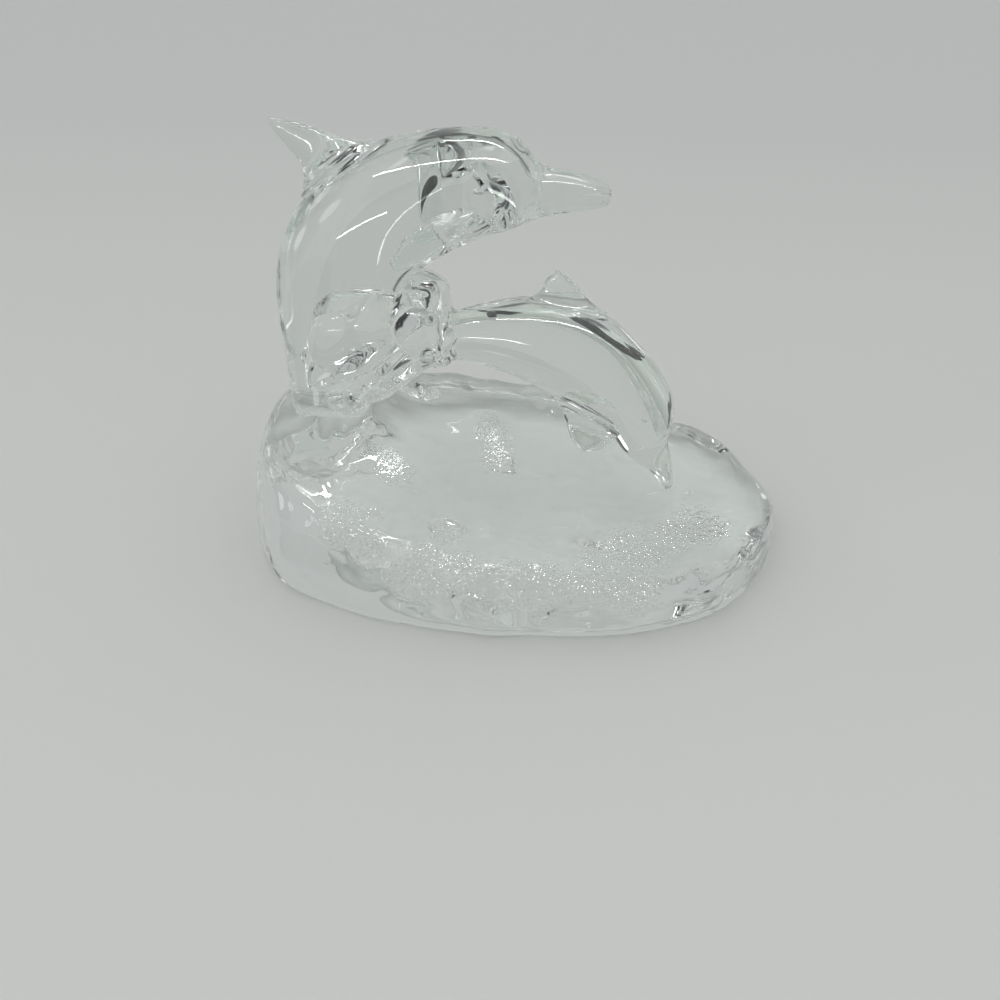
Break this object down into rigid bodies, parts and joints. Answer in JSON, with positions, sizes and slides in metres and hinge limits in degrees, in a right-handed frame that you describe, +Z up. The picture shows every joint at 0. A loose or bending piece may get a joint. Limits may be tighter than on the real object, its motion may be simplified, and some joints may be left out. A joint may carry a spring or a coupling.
{
  "type": "glass dolphin figurine",
  "caption": "Clear cast glass ornament: a dolphin and calf leap out of a breaking wave on an oval, water-textured base.",
  "frame": {"origin": "middle of the flat underside of the base", "axes": "+Z up, +X along the base from the adult towards the calf's beak, +Y across the base, away from the side that the picture shows"},
  "size_m": [0.159, 0.107, 0.1208],
  "materials": {
    "clear_glass": "clear, fire-polished, with a rippled water texture on the base and the wave"
  },
  "bodies": {
    "root": {"dolphins_on_wave": "clear_glass"}
  },
  "joints": []
}
